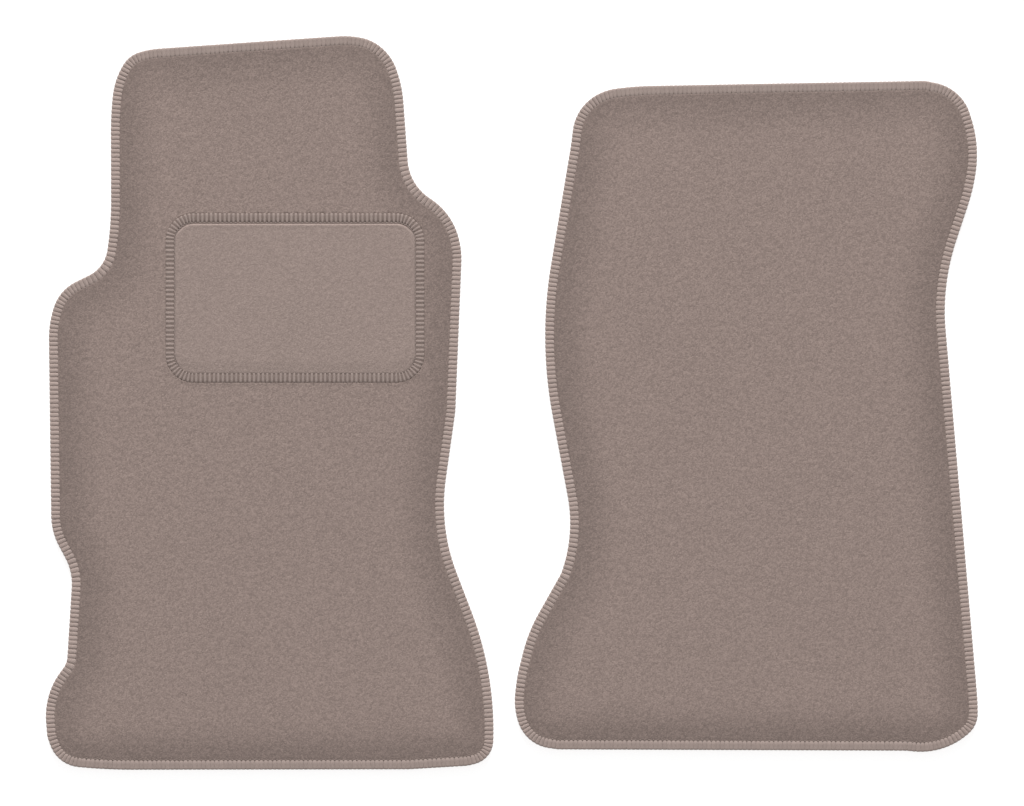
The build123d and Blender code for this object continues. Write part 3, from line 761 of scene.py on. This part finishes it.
BAR = np.array([
    (8.95, 7.84, 0.75, 0.18),
    (8.65, 8.10, 1.02, 0.22),
    (7.90, 8.33, 1.17, 0.22),
    (6.50, 8.40, 1.20, 0.22),
    (4.40, 8.45, 1.22, 0.22),
    (2.60, 8.44, 1.22, 0.22),
    (1.00, 8.38, 1.22, 0.22),
    (0.48, 7.95, 1.22, 0.24),
    (0.36, 6.90, 1.18, 0.26),
    (0.40, 6.20, 1.05, 0.26),
])
BAR[:, 1] -= PAD_DOWN
pad_bars = wraps("heel_pad_border_bars", PAD, (np.arange(n_bar) + 0.5) * PAD.length / n_bar, BAR[:, :2], BAR[:, 2],
                 BAR[:, 3], sides=10, power=2.4, wobble=0.06, ends=(0.2, 0.2), seed=5, pull=pad_further,
                 dip=-0.25)
pad_seam = thread("heel_pad_seam_stitches", PAD, 6, depth=8.85, z=8.16 - PAD_DOWN, n=n_bar, long=1.4, wide=0.34,
                  pull=pad_further)

for obj, material, slot, nodes in (
    (pad_pile, PAD_PILE, "heel_pad_pile", ["heel_pad_pile"]),
    (pad_scrim, SCRIM, "scrim", ["heel_pad_backing"]),
    (pad_ground, PAD_GROUND_SHADE, "pad_border_yarn", ["heel_pad_border_yarn"]),
    (pad_bars, PAD_YARN, "pad_border_yarn", ["heel_pad_border_yarn"]),
    (pad_seam, THREAD, "thread", ["heel_pad_seam_thread"]),
):
    obj.data.materials.append(material)
    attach(obj, "driver_mat")
    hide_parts(*nodes)


# ---------------------------------------------------------------------------
# Loops round each sheet at the size it was cut to; nothing is kept from them
# ---------------------------------------------------------------------------
def declare(outline, cut):
    loop = outline.loop(1500, cut)


for key, outline in (("driver", DRIVER), ("passenger", PASSENGER)):
    declare(outline, 1.7)
    declare(outline, 1.7)
    declare(outline, 1.6)
declare(PAD, 1.3)
declare(PAD, 1.2)

# ---------------------------------------------------------------------------
# Floor, light and camera
# ---------------------------------------------------------------------------
bpy.ops.mesh.primitive_circle_add(vertices=96, radius=9.0, fill_type="NGON", location=(0, 0, -0.0004))
floor = bpy.context.object
floor.name = "floor"
t = Tree("floor", Roughness=0.9, Specular_IOR_Level=0.1)
speck = t.node("TexNoise", {"noise_dimensions": "3D"}, Scale=3.0, Detail=2.0).outputs[0]
t.shader.inputs["Emission Color"].default_value = (1.0, 1.0, 1.0, 1.0)
t.shader.inputs["Emission Strength"].default_value = 0.70
t.finish(t.tint((0.6, 0.6, 0.6), t.remap(speck, 0.3, 0.7, 0.99, 1.01)))
floor.data.materials.append(t.material)

world = bpy.data.worlds.new("studio")
bpy.context.scene.world = world
world.use_nodes = True
world.node_tree.nodes["Background"].inputs["Color"].default_value = (1.0, 1.0, 1.0, 1.0)
world.node_tree.nodes["Background"].inputs["Strength"].default_value = 0.52


def area_light(name, azimuth, elevation, distance, size, energy, colour=(1, 1, 1)):
    """A soft light at that compass angle from +X and elevation, aimed at the origin."""
    a, e = math.radians(azimuth), math.radians(elevation)
    light = bpy.data.lights.new(name, "AREA")
    light.shape = "RECTANGLE"
    light.size, light.size_y = size
    light.energy = energy
    light.color = colour
    obj = bpy.data.objects.new(name, light)
    obj.location = distance * Vector((math.cos(a) * math.cos(e), math.sin(a) * math.cos(e), math.sin(e)))
    obj.rotation_euler = (-obj.location).to_track_quat("-Z", "Y").to_euler()
    bpy.context.scene.collection.objects.link(obj)
    return obj


area_light("key", 90, 25, 14.0, (6.5, 2.6), 2150.0)

camera_data = bpy.data.cameras.new("camera")
camera_data.lens = 180.0
camera_data.sensor_width = 36.0
camera_data.clip_start, camera_data.clip_end = 0.05, 60.0
camera = bpy.data.objects.new("camera", camera_data)
camera.location = (0.0002, 0.0001, 0.512 * 180.0 / 18.0 + 0.007)
camera.rotation_euler = (0.0, 0.0, 0.0)
bpy.context.scene.collection.objects.link(camera)
bpy.context.scene.camera = camera
bpy.context.scene.view_settings.view_transform = "Standard"
bpy.context.scene.view_settings.look = "None"
